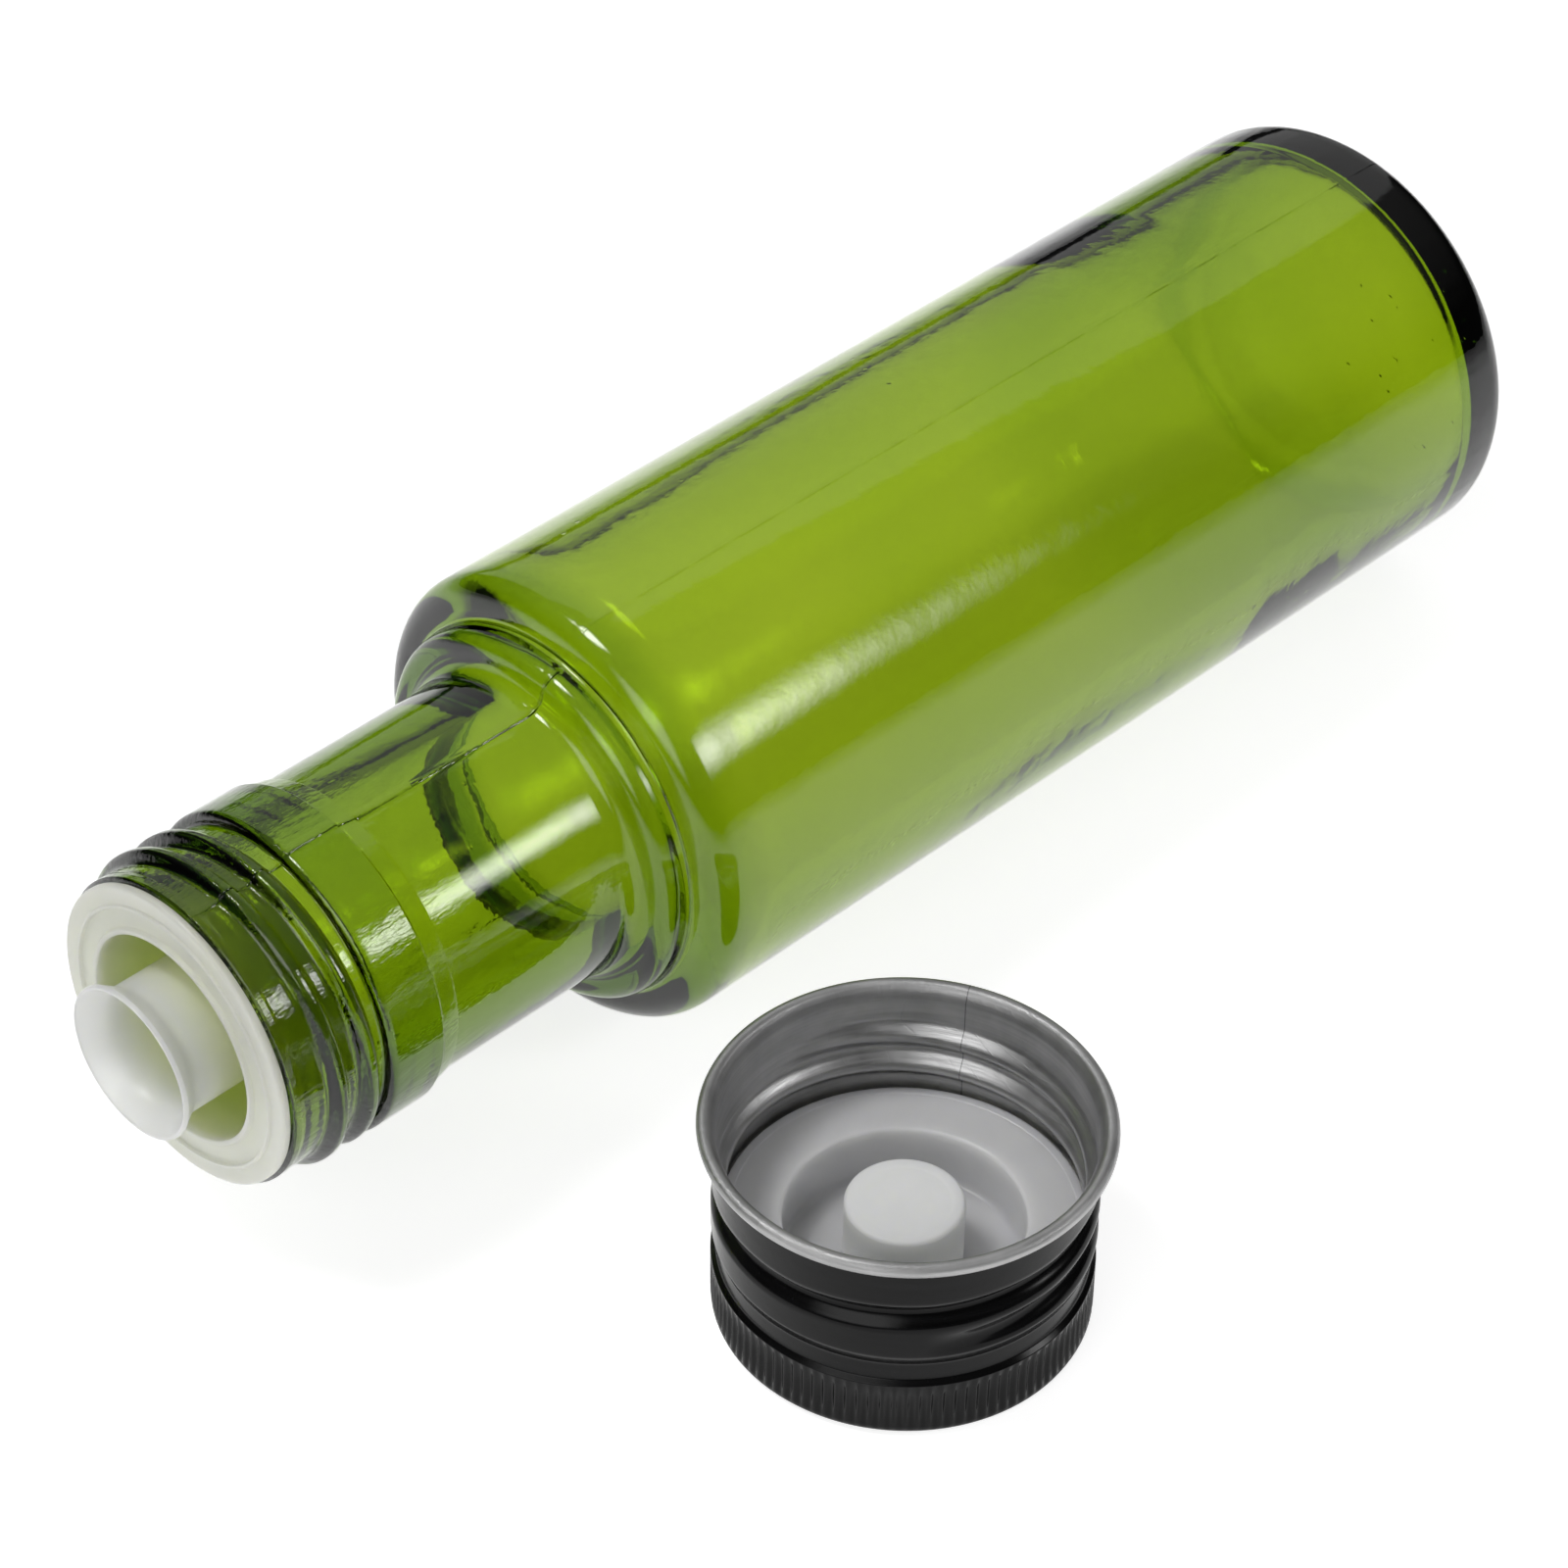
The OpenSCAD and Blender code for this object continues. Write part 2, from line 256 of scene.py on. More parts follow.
def helix_height(angle, z, start_angle, start, turns, pitch, half_width, run_out, shape):
    """How much of a helical thread is at this angle and height, from 0 to 1."""
    best = 0.0
    base = (math.degrees(angle) - start_angle) % 360
    for lap in range(-1, math.ceil(turns) + 1):
        turned = base + 360 * lap
        inside = min(turned, turns * 360 - turned)
        if inside < 0:
            continue
        middle = start + pitch * turned / 360
        fade = min(1.0, inside / run_out)
        best = max(best, shape((z - middle) / half_width) * fade * (2 - fade))
    return best


def wobble(x, y, z, scale):
    """Smooth noise from -1 to 1."""
    return noise.noise(Vector((x, y, z)) / scale)


# ---------------- node helpers
class Nodes:
    """A short way to write node trees: n.add(type, {socket: value or other socket}, setting=value)."""

    def __init__(self, name):
        self.material = bpy.data.materials.new(name)
        self.material.use_nodes = True
        self.tree = self.material.node_tree
        self.tree.nodes.clear()
        self.output = self.add("ShaderNodeOutputMaterial")

    def add(self, kind, inputs=None, **settings):
        node = self.tree.nodes.new(kind)
        for key, value in settings.items():
            setattr(node, key, value)
        for key, value in (inputs or {}).items():
            if isinstance(value, bpy.types.NodeSocket):
                self.tree.links.new(value, node.inputs[key])
            else:
                node.inputs[key].default_value = value
        return node

    def math(self, operation, a, b=0.0):
        return self.add("ShaderNodeMath", {0: a, 1: b}, operation=operation).outputs[0]

    def position(self, origin=(0, 0, 0), scale=(1, 1, 1)):
        """Place on the object, from an origin in the row frame, stretched by scale."""
        coords = self.add("ShaderNodeTexCoord").outputs["Object"]
        moved = self.add("ShaderNodeVectorMath", {0: coords, 1: origin}, operation="SUBTRACT").outputs[0]
        return self.add("ShaderNodeVectorMath", {0: moved, 1: scale}, operation="MULTIPLY").outputs[0]

    def noise(self, vector, scale, detail=2.0, rough=0.5):
        values = {"Vector": vector, "Scale": scale, "Detail": detail, "Roughness": rough}
        return self.add("ShaderNodeTexNoise", values).outputs["Fac"]

    def ramp(self, value, stops):
        """Colours at places from 0 to 1."""
        node = self.add("ShaderNodeValToRGB", {0: value})
        elements = node.color_ramp.elements
        while len(elements) < len(stops):
            elements.new(0.5)
        for element, (place, colour) in zip(elements, stops):
            element.position = place
            element.color = (*colour, 1) if len(colour) == 3 else colour
        return node.outputs[0]

    def range(self, value, low, high, to_low, to_high):
        values = {"Value": value, "From Min": low, "From Max": high, "To Min": to_low, "To Max": to_high}
        return self.add("ShaderNodeMapRange", values).outputs[0]

    def bump(self, height, strength, distance, normal=None):
        values = {"Height": height, "Strength": strength, "Distance": distance}
        if normal is not None:
            values["Normal"] = normal
        return self.add("ShaderNodeBump", values).outputs[0]

    def surface(self, values):
        shader = self.add("ShaderNodeBsdfPrincipled", values)
        self.tree.links.new(shader.outputs[0], self.output.inputs["Surface"])
        return shader


def mould_seam(n, place):
    """The fine broken line that the two mould halves leave along both sides of the bottle, from 0 to 1."""
    angle = math.radians(SEAM_ANGLE)
    line_normal = (0, math.cos(angle), math.sin(angle))
    product = n.add("ShaderNodeVectorMath", {0: place, 1: line_normal}, operation="DOT_PRODUCT")
    across = product.outputs["Value"]
    line = n.range(n.math("ABSOLUTE", across), 0.00005, 0.00017, 1.0, 0.0)
    broken = n.range(n.noise(n.position(), 380, 3.0, 0.6), 0.40, 0.56, 0.15, 1.0)
    # Only the outer skin has the line, not the blown inside
    x, y, z = n.add("ShaderNodeSeparateXYZ", {0: place}).outputs
    radius = n.math("SQRT", n.math("ADD", n.math("MULTIPLY", y, y), n.math("MULTIPLY", z, z)))
    skin_r = n.range(x, NECK_END * MM, SHOULDER_FACE * MM, (NECK_R - 1) * MM, (BODY_R - 1) * MM)
    # It is plain to see on the neck and nearly polished away on the body
    share = n.range(x, NECK_END * MM, SHOULDER_FACE * MM, 1.0, 0.25)
    line = n.math("MULTIPLY", line, n.math("MULTIPLY", broken, share))
    return n.math("MULTIPLY", line, n.math("GREATER_THAN", radius, skin_r))


def glass_material():
    """Olive-green container glass: the colour is in the volume, the skin has ripple, pits and a seam."""
    n = Nodes("green_glass")
    here = n.position()
    along = n.position(origin=MOUTH * MM)
    x = n.add("ShaderNodeSeparateXYZ", {0: along}).outputs[0]
    near_mouth = n.range(x, 0.016, 0.024, 1.0, 0.0)
    skin = n.noise(here, 340, 3.0, 0.55)
    ripple = n.noise(here, 60, 2.0, 0.4)
    tool = n.noise(n.position(scale=(0.35, 1, 1)), 1500, 2.0, 0.6)
    pits = n.add("ShaderNodeTexVoronoi", {"Vector": here, "Scale": 420.0}).outputs["Distance"]
    pit = n.range(pits, 0.0, 0.10, 0.0, 1.0)
    pit_zone = n.range(n.noise(here, 45, 1.0), 0.60, 0.72, 0.0, 1.0)
    pit_depth = n.math("MULTIPLY", n.math("SUBTRACT", pit, 1.0), pit_zone)
    normal = n.bump(ripple, 0.10, 0.0006)
    normal = n.bump(skin, 0.09, 0.0003, normal)
    normal = n.bump(n.math("MULTIPLY", tool, near_mouth), 0.34, 0.00014, normal)
    normal = n.bump(pit_depth, 0.6, 0.0003, normal)
    seam = mould_seam(n, along)
    normal = n.bump(seam, 0.8, 0.00012, normal)
    cloud = n.noise(here, 30, 2.0)
    tint = n.ramp(cloud, [(0.3, (0.93, 0.97, 0.88)), (0.7, (1.0, 1.0, 0.97))])
    # Along the seam the colour turns dull green-grey: painted shade for the dark line that the seam's ridge
    # shows by refraction
    seam_shade = {0: n.math("MULTIPLY", seam, 0.55), 6: tint, 7: (0.30, 0.36, 0.20, 1)}
    tint = n.add("ShaderNodeMix", seam_shade, data_type="RGBA").outputs[2]
    smear = n.range(n.noise(n.position(scale=(0.3, 1, 1)), 70, 4.0, 0.6), 0.45, 0.75, 0.0, 0.035)
    n.surface({
        "Base Color": tint,
        "Roughness": smear,
        "IOR": 1.52,
        "Transmission Weight": 1.0,
        "Specular IOR Level": 0.5,
        "Normal": normal,
    })
    absorb = n.add("ShaderNodeVolumeAbsorption", {"Color": GLASS_COLOUR, "Density": GLASS_DENSITY})
    n.tree.links.new(absorb.outputs[0], n.output.inputs["Volume"])
    return n.material


def milky_material(name, colour, clear, rough, depth, glass_green_light=None):
    """Translucent moulded plastic with flow marks and a fine matt grain. The last colour, if given, is
    painted light: the green that the glass round the neck throws onto the plastic, laid into its colour
    inside the neck.
    """
    n = Nodes(name)
    here = n.position()
    flow = n.noise(here, 160, 3.0, 0.5)
    grain = n.noise(here, 2600, 2.0, 0.6)
    shade = n.ramp(flow, [(0.3, tuple(c * 0.93 for c in colour)), (0.7, colour)])
    if glass_green_light:
        # Painted light: towards the inside of the neck the colour turns to the green the surrounding glass
        # throws on the plastic
        into = n.add("ShaderNodeSeparateXYZ", {0: n.position(origin=MOUTH * MM)}).outputs[0]
        share = n.range(into, -2.5 * MM, 4 * MM, 0.0, 1.0)
        shade = n.add("ShaderNodeMix", {0: share, 6: shade, 7: (*glass_green_light, 1)}, data_type="RGBA").outputs[2]
    roughness = n.range(n.noise(here, 700, 2.0), 0.3, 0.7, rough - 0.06, rough + 0.06)
    normal = n.bump(grain, 0.08, 0.00005, n.bump(flow, 0.06, 0.0004))
    n.surface({
        "Base Color": shade,
        "Roughness": roughness,
        "IOR": 1.5,
        "Transmission Weight": clear,
        "Subsurface Weight": 1.0,
        "Subsurface Radius": (1.0, 1.0, 0.9),
        "Subsurface Scale": depth,
        "Normal": normal,
    })
    return n.material


def ring_coordinates(n):
    """Radius and height from the cap's axis, with the angle slowed down, for marks that run round it."""
    place = n.position(origin=CAP_AXIS * MM)
    parts = n.add("ShaderNodeSeparateXYZ", {0: place})
    x, y, z = parts.outputs
    radius = n.math("SQRT", n.math("ADD", n.math("MULTIPLY", x, x), n.math("MULTIPLY", y, y)))
    angle = n.math("ARCTAN2", y, x)
    flat = n.add("ShaderNodeCombineXYZ", {0: n.math("MULTIPLY", angle, 0.0006), 1: radius, 2: z})
    return flat.outputs[0]


def cap_seam(n):
    """A hair-fine straight line up the inside of the cap, from 0 to 1."""
    angle = math.radians(26)
    place = n.position(origin=CAP_AXIS * MM)
    along = n.add("ShaderNodeVectorMath", {0: place, 1: (math.cos(angle), math.sin(angle), 0)},
                  operation="DOT_PRODUCT").outputs["Value"]
    across = n.add("ShaderNodeVectorMath", {0: place, 1: (-math.sin(angle), math.cos(angle), 0)},
                   operation="DOT_PRODUCT").outputs["Value"]
    line = n.range(n.math("ABSOLUTE", across), 0.00002, 0.00006, 0.8, 0.0)
    return n.math("MULTIPLY", line, n.math("GREATER_THAN", along, 0.010))


def aluminium_material():
    """Bare rolled aluminium: fine marks round the axis, a few scratches across them, and dull patches."""
    n = Nodes("bare_aluminium")
    here = n.position()
    rings = ring_coordinates(n)
    brush = n.noise(rings, 9000, 2.0, 0.7)
    broad = n.noise(rings, 1400, 2.0, 0.6)
    patch = n.noise(here, 220, 3.0, 0.6)
    scratch = n.add("ShaderNodeTexWave", {"Vector": n.position(scale=(1, 0.25, 0.4)), "Scale": 260.0,
                                          "Distortion": 18.0, "Detail": 3.0}).outputs["Fac"]
    scratch = n.range(scratch, 0.965, 1.0, 0.0, 1.0)
    colour = n.ramp(n.math("MULTIPLY", n.math("ADD", broad, patch), 0.5),
                    [(0.3, (0.31, 0.31, 0.31)), (0.7, (0.54, 0.54, 0.54))])
    roughness = n.range(n.math("ADD", brush, n.math("MULTIPLY", patch, 0.6)), 0.5, 1.1, 0.29, 0.48)
    height = n.add("ShaderNodeSeparateXYZ", {0: here}).outputs[2]
    rim = n.range(height, (CAP_H - 1.6) * MM, (CAP_H - 1.2) * MM, 0.0, 1.0)
    roughness = n.math("ADD", roughness, n.math("MULTIPLY", rim, 0.14))
    normal = n.bump(brush, 0.20, 0.00006, n.bump(broad, 0.15, 0.0002))
    hatch = n.noise(n.position(scale=(1, 1, 0.1)), 2600, 2.0, 0.6)
    normal = n.bump(n.math("MULTIPLY", hatch, rim), 0.35, 0.0001, normal)
    normal = n.bump(scratch, 0.15, 0.00005, normal)
    seam = cap_seam(n)
    dark = (0.10, 0.10, 0.10, 1)
    colour = n.add("ShaderNodeMix", {0: seam, 6: colour, 7: dark}, data_type="RGBA").outputs[2]
    n.surface({
        "Base Color": colour,
        "Metallic": 1.0,
        "Roughness": roughness,
        "Anisotropic": 0.35,
        "Normal": normal,
    })
    return n.material


def lacquer_material():
    """Satin black lacquer, with rubbed marks round the cap and dust."""
    n = Nodes("black_lacquer")
    here = n.position()
    rings = ring_coordinates(n)
    rub = n.noise(rings, 2200, 3.0, 0.6)
    peel = n.noise(here, 900, 2.0, 0.5)
    dust = n.range(n.noise(here, 3200, 1.0), 0.74, 0.80, 0.0, 1.0)
    colour = n.ramp(n.math("MULTIPLY", n.math("ADD", rub, dust), 0.6),
                    [(0.2, (0.002, 0.002, 0.002)), (0.8, (0.008, 0.008, 0.009))])
    roughness = n.range(rub, 0.3, 0.7, 0.15, 0.22)
    n.surface({
        "Base Color": colour,
        "Roughness": roughness,
        "Specular IOR Level": 0.13,
        "Coat Weight": 0.04,
        "Coat Roughness": 0.1,
        "Normal": n.bump(peel, 0.06, 0.0002),
    })
    return n.material


# ---------------- glass bottle
def glass_bottle():
    cavity_r = BODY_R - WALL
    cavity_end = GLASS_LEN - BASE_THICK
    inside = [
        (0, cavity_end - 0.6, 0),
        (8, cavity_end - 0.5, 8),
        (cavity_r - THICK_HEEL, cavity_end + 0.1, 2.5),
        (cavity_r - THICK_HEEL, GLASS_LEN - 22, 30),
        (cavity_r, GLASS_LEN - 34, 30),
        (cavity_r, SHOULDER_FACE + 3.2, 5),
        (cavity_r - 3.4, SHOULDER_FACE + 2.6, 2.4),
        (BORE_R, NECK_END + 1.2, 4),
    ]
    outside = [
        (BORE_R, 0, 0.8),
        (FINISH_R, 0, 0.9),
        (FINISH_R, COLLAR_START, 0.25),
        (COLLAR_R, COLLAR_START, 0.7),
        (COLLAR_R, COLLAR_END - 0.1, 0.14),
        (COLLAR_R - 0.3, COLLAR_END + 0.15, 0.12),
        (NECK_R + 0.28, COLLAR_END + 1.95, 0.1),
        (NECK_R, COLLAR_END + 2.2, 0.15),
        (NECK_R, NECK_END, 1.5),
        (RING_R, NECK_END, 1.6),
        (RING_R, SHOULDER_FACE, 0.6),
        (BODY_R, SHOULDER_FACE, SHOULDER_ROUND),
        (BODY_R, GLASS_LEN - 0.01, HEEL_ROUND),
        (PUSH_UP_R, GLASS_LEN - 0.01, 0.8),
        (PUSH_UP_R * 0.6, GLASS_LEN - PUSH_UP * 0.8, 12),
        (0, GLASS_LEN - PUSH_UP, 0),
    ]
    line = rounded(inside + outside, 6)
    fine_end = COLLAR_START + 0.8
    seam_end = COLLAR_END + 4

    def longest(z):
        return 0.22 if z < fine_end else 0.4 if z < seam_end else 2.4

    mouth_row = min(range(len(line)), key=lambda i: (line[i].y, line[i].x))
    bore = dense(line[:mouth_row + 1], lambda z: 2.0)
    line = bore + dense(line[mouth_row:], longest)[1:]
    mouth_row = len(bore) - 1
    around = 270
    seams = (round(around * SEAM_ANGLE / 360), round(around * (SEAM_ANGLE - 180) / 360))

    def bend(row, angle, r, z):
        x, y = math.cos(angle), math.sin(angle)
        if row < mouth_row:
            depth = min(1.0, max(0.0, (z - 14) / 30))
            low = max(0.0, min(1.0, (cavity_end - z) / 6))
            uneven = 0.16 * wobble(x * 15, y * 15, z * 0.12, 7) + 0.10 * wobble(x * 15, y * 15, z * 0.5, 12)
            return r + (uneven * depth * low if r > 6 else 0), z
        if z < fine_end and r > FINISH_R - 0.3:
            share = helix_height(angle, z, THREAD_START_ANGLE, THREAD_START, THREAD_TURNS, THREAD_PITCH,
                                 THREAD_HALF, THREAD_RUN_OUT, crest)
            r = max(r, FINISH_R + (THREAD_R - FINISH_R) * share)
        if 1 < z < GLASS_LEN - 1 and r > NECK_R - 1:
            k = round(angle / TAU * around) % around
            if k in seams:
                r += SEAM_ON_NECK if r < RING_R else SEAM_ON_BODY
                r += FLASH_MARK * hump((z - COLLAR_END - 2.6) / 0.8)
            r += 0.03 * wobble(x * 20, y * 20, z * 0.3, 7) - 0.08
            if GLASS_LEN - TICK_LOW < z < GLASS_LEN - TICK_HIGH and k % TICK_EVERY == 0:
                r += TICK_RISE
        return min(r, BODY_R), z

    piece = lathe("bottle_glass", line, around, along_bottle, bend)
    piece.data.materials.append(glass_material())
    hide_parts("glass_bottle")
    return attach(piece, "bottle")


# ---------------- pourer
def pourer():
    tip = -SPOUT_TIP
    step_r = FLANGE_R * 0.86
    skirt = [
        (SKIRT_IN_R, SKIRT_DEPTH, 0.15),
        (SKIRT_IN_R, -FLANGE_T - 0.24, 0.15),
        (SKIRT_IN_R + 0.42, -FLANGE_T - 0.24, 0.12),
        (SKIRT_IN_R + 0.62, -FLANGE_T + 0.12, 0.15),
        (step_r - 0.10, -FLANGE_T + 0.16, 0.12),
        (step_r, -FLANGE_T - 0.16, 0.07),
        (step_r + 0.20, -FLANGE_T - 0.16, 0.07),
        (step_r + 0.34, -FLANGE_T + 0.06, 0.1),
        (FLANGE_R, -FLANGE_T + 0.02, 0.3),
        (FLANGE_R, -0.02, 0.12),
        (SKIRT_R, -0.02, 0.12),
        (SKIRT_R, SKIRT_DEPTH - 1.4, 0.5),
        (SKIRT_R - 0.5, SKIRT_DEPTH, 0.2),
    ]
    spout = [
        (SPOUT_BORE_R, POURER_END, 0.2),
        (SPOUT_BORE_R, tip + 2.2, 2.5),
        (LIP_R - 0.35, tip + 0.12, 0.1),
        (LIP_R - 0.1, tip, 0.12),
        (LIP_R, tip + 0.45, 0.15),
        (SPOUT_R, tip + 2.1, 2.0),
        (SPOUT_R, POURER_END, 0.2),
    ]
    around = 160
    parts = []
    for name, corners in (("pourer_ring", skirt), ("pourer_spout", spout)):
        loop = corners[-1:] + corners + corners[:1]
        line = dense(rounded(loop, 5)[1:-1], lambda z: 1.0)
        parts.append(lathe(name, line, around, along_bottle, closed=True))
    for i in range(3):
        parts.append(floor_web((i + 0.5) * 120))
    piece = parts[0]
    for other in parts[1:]:
        join = piece.modifiers.new("join", "BOOLEAN")
        join.operation = "UNION"
        join.solver = "EXACT"
        join.object = other
    settle(piece)
    for other in parts[1:]:
        bpy.data.objects.remove(other)
    piece.name = "pourer_moulding"
    piece.data.materials.clear()
    # The last colour is painted light: the green the glass round the neck throws on the plastic
    piece.data.materials.append(milky_material("pourer_plastic", (0.98, 0.99, 0.97), 0.40, 0.36, 0.0012,
                                               (0.88, 0.96, 0.48)))
    smooth_by_angle(piece, 35)
    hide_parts("pourer_insert")
    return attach(piece, "pourer")


def floor_web(middle):
    """One of the three curved bridges between the spout and the skirt."""
    half = 16
    inner, outer = SPOUT_R - 0.3, SKIRT_IN_R + 0.3
    low, high = FLOOR_TOP, FLOOR_TOP + 1
    steps = 8
    mesh = bpy.data.meshes.new("web")
    bm = bmesh.new()
    rows = []
    for k in range(steps + 1):
        angle = math.radians(middle - half + 2 * half * k / steps)
        c, s = math.cos(angle), math.sin(angle)
        corners = ((inner, low), (outer, low), (outer, high), (inner, high))
        rows.append([bm.verts.new(along_bottle(r * c, r * s, z)) for r, z in corners])
    for a, b in zip(rows, rows[1:]):
        for j in range(4):
            n = (j + 1) % 4
            bm.faces.new((a[j], a[n], b[n], b[j]))
    bm.faces.new(rows[0][::-1])
    bm.faces.new(rows[-1])
    bmesh.ops.recalc_face_normals(bm, faces=bm.faces)
    bm.to_mesh(mesh)
    bm.free()
    piece = bpy.data.objects.new("web", mesh)
    bpy.context.scene.collection.objects.link(piece)
    return piece


def settle(piece):
    """Applies every modifier to the mesh."""
    bpy.context.view_layer.update()
    graph = bpy.context.evaluated_depsgraph_get()
    mesh = bpy.data.meshes.new_from_object(piece.evaluated_get(graph))
    piece.modifiers.clear()
    piece.data = mesh


def smooth_by_angle(piece, degrees):
    """Smooth shading, with edges sharper than this angle kept crisp."""
    bm = bmesh.new()
    bm.from_mesh(piece.data)
    for face in bm.faces:
        face.smooth = True
    for edge in bm.edges:
        if len(edge.link_faces) == 2:
            edge.smooth = edge.calc_face_angle(0) < math.radians(degrees)
    bm.to_mesh(piece.data)
    bm.free()


# ---------------- cap
def cap_shape(angle, z):
    """How far the sheet is pushed in at this angle and height, by the thread roll."""
    share = helix_height(angle, z, CAP_THREAD_ANGLE, CAP_THREAD_START, CAP_THREAD_TURNS, THREAD_PITCH,
                         CAP_THREAD_HALF, CAP_THREAD_RUN_OUT, hump)
    return -CAP_THREAD_DEPTH * share


def knurl(angle, z):
    """Depth of the knurling at this angle and height."""
    if not KNURL_LOW < z < KNURL_HIGH:
        return 0.0
    ends = min(1.0, (z - KNURL_LOW) / 0.3, (KNURL_HIGH - z) / 0.3)
    wave = 0.5 - 0.5 * math.cos(angle * KNURLS)
    return -KNURL_DEPTH * ends * wave ** 0.7


def cap_outside():
    """Outer profile of the cap, from the middle of the closed end up to the curl."""
    root_r = SHELL_R - 0.45
    return [
        (0, 0.12, 0),
        (SHELL_R - 4, 0.10, 1),
        (SHELL_R - 3.2, 0, 0.5),
        (SHELL_R, 0, 1.1),
        (SHELL_R, KNURL_HIGH + 0.1, 0.15),
        (root_r, KNURL_HIGH + 0.5, 0.3),
        (root_r, KNURL_HIGH + 2.2, 1.0),
        (SHELL_R, KNURL_HIGH + 3.4, 0.8),
        (SHELL_R, CAP_H - 2 * CURL_R + 0.1, 0),
    ]


def cap_pieces():
    around = KNURLS * 5
    curl_middle = Vector((RIM_R - CURL_R, CAP_H - CURL_R))

    def longest(z):
        return 0.36 if 6.5 < z < CAP_H - 1.5 else 1.2

    outer = dense(rounded(cap_outside(), 6), longest)
    inner_r = SHELL_R - SHEET
    inner = dense(
        rounded([
            (inner_r, CAP_H - 1.2, 0),
            (inner_r, 8.8, 0.3),
            (inner_r - KNURL_DEPTH, 8.2, 0.3),
            (inner_r - KNURL_DEPTH, SHEET, 1.0),
            (0, SHEET + 0.1, 0),
        ], 5), longest)
    curl = []
    for k in range(CURL_STEPS + 1):
        angle = math.radians(CURL_FROM + CURL_SWEEP * k / CURL_STEPS)
        curl.append(curl_middle + Vector((math.cos(angle), math.sin(angle))) * CURL_R)

    def bend_outer(row, angle, r, z):
        if r > SHELL_R - 1.5:
            r += knurl(angle, z) + cap_shape(angle, z)
            r += 0.02 * wobble(math.cos(angle) * 8, math.sin(angle) * 8, z, 4)
        return r, z

    # The sheet is bare metal and lies just inside the lacquer
    coat = 0.03
    skin = 0.015
    first_inner = len(outer) + len(curl)

    def bend_sheet(row, angle, r, z):
        if row < len(outer):
            r, z = bend_outer(row, angle, r, z)
            lift = skin if z < 0.9 else 0
            return max(0.01, r - skin), z + lift
        if row >= first_inner and r > inner_r - 1.2:
            return r + cap_shape(angle, z) + 0.35 * knurl(angle, z), z
        return r, z

    sheet = lathe("cap_sheet", outer + curl + inner, around, on_cap, bend_sheet)
    sheet.data.materials.append(aluminium_material())
    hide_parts("cap_shell")
    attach(sheet, "cap")

    back = [Vector((p.x - (coat if p.x > 1 else 0), p.y + (coat if p.y < 0.9 else 0))) for p in outer]
    coat_line = outer[:-1] + back[:-1][::-1]
    lacquer = lathe("cap_lacquer", coat_line, around, on_cap, bend_outer)
    lacquer.data.materials.append(lacquer_material())
    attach(lacquer, "cap")


def cap_liner():
    recess = RECESS_R
    foot = SHEET + 0.08
    disc_r = LINER_R + 0.4
    line = rounded([
        (0, RECESS_FLOOR, 0),
        (recess, RECESS_FLOOR, 0.6),
        (recess, SEAL_H - 0.04, 0.3),
        (recess + 0.9, SEAL_H - 0.05, 0.2),
        (disc_r - 0.9, SEAL_H - 0.05, 0.2),
        (disc_r - 0.8, SEAL_H, 0.05),
        (disc_r, SEAL_H, 0.25),
        (disc_r, 8.9, 0.1),
        (LINER_R, 8.2, 0.3),
        (LINER_R - 0.86, 7.2, 0.3),
        (LINER_R - 0.86, foot, 0.6),
        (LINER_R - 1.86, foot, 0.3),
        (LINER_R - 1.86, SEAL_H - 1.1, 0.4),
        (recess + 1.0, SEAL_H - 1.1, 0.3),
        (recess + 1.0, RECESS_FLOOR - 1, 0.3),
        (0, RECESS_FLOOR - 1, 0),
    ], 5)
    piece = lathe("cap_liner_moulding", dense(line, lambda z: 0.9), 192, on_cap)
    for k in range(8):
        rib = liner_rib(k * 45)
        join = piece.modifiers.new("join", "BOOLEAN")
        join.operation = "UNION"
        join.solver = "EXACT"
        join.object = rib
    settle(piece)
    for o in [o for o in bpy.data.objects if o.name.startswith("rib")]:
        bpy.data.objects.remove(o)
    piece.data.materials.clear()
    piece.data.materials.append(milky_material("liner_plastic", (0.72, 0.72, 0.72), 0.0, 0.36, 0.003))
    smooth_by_angle(piece, 35)
    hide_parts("cap_liner")
    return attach(piece, "cap_seal")


def liner_rib(turn):
    """A thin wall under the sealing face, from the recess to the skirt."""
    length = LINER_R - 1.86 - RECESS_R - 1.0 + 0.6
    low, high = SHEET + 1.3, SEAL_H - 0.9
    mesh = bpy.data.meshes.new("rib")
    bm = bmesh.new()
    box = bmesh.ops.create_cube(bm, size=1.0)
    shift = Matrix.Translation(Vector((RECESS_R + 0.7 + length / 2, 0, (low + high) / 2)))
    spin = Matrix.Rotation(math.radians(turn), 4, "Z")
    for v in box["verts"]:
        v.co = Vector((v.co.x * length, v.co.y * 0.8, v.co.z * (high - low)))
        v.co = on_cap(*(spin @ (shift @ v.co)))
    bm.to_mesh(mesh)
    bm.free()
    piece = bpy.data.objects.new("rib", mesh)
    bpy.context.scene.collection.objects.link(piece)
    return piece


def cap_plug():
    top = PLUG_TOP
    line = rounded([
        (0, top - 0.05, 0),
        (PLUG_R - 1.2, top - 0.04, 0.8),
        (PLUG_R - 0.9, top, 0.3),
        (PLUG_R, top, 0.35),
        (PLUG_R, RECESS_FLOOR + 0.02, 0),
        (0, RECESS_FLOOR + 0.02, 0),
    ], 6)
    piece = lathe("cap_plug_moulding", dense(line, lambda z: 0.8), 128, on_cap)
    piece.data.materials.append(milky_material("plug_plastic", (0.90, 0.91, 0.90), 0.0, 0.42, 0.0015))
    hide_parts("cap_plug")
    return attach(piece, "cap_seal")


